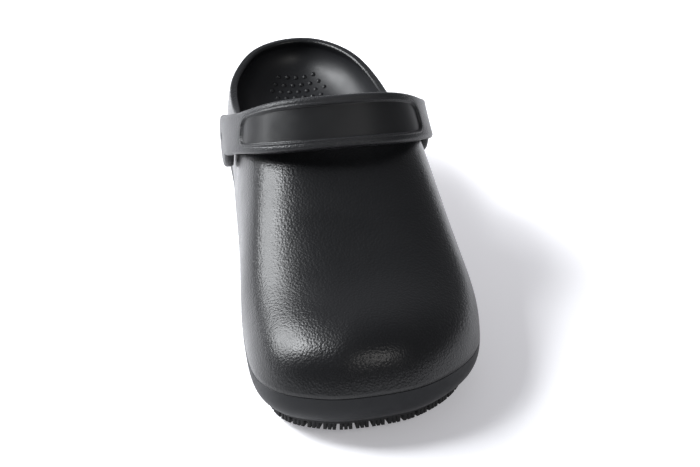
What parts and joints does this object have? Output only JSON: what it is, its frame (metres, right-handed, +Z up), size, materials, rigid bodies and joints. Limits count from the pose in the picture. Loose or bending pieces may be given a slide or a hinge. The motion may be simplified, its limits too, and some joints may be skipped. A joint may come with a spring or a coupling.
{
  "type": "work clog",
  "caption": "Moulded foam work clog for the left foot with a cupped footbed, a swing strap on side studs and a lugged non-slip outsole.",
  "frame": {"origin": "on the floor, under the middle of the clog's bounding box", "axes": "+X lateral side, -X big-toe side, -Y toe, +Y heel, +Z up"},
  "size_m": [0.1042, 0.268, 0.1045],
  "materials": {
    "upper": "black foam with a fine leather-like grain, satin",
    "midsole": "smooth matt black foam",
    "outsole": "matt black rubber",
    "footbed": "smooth satin black foam",
    "strap": "satin black foam with a smooth recessed panel",
    "stud": "black plastic"
  },
  "bodies": {
    "root": {"upper": "upper", "midsole": "midsole", "outsole": "outsole", "insole": "footbed", "strap": "strap", "stud_medial": "stud", "stud_lateral": "stud"}
  },
  "joints": []
}
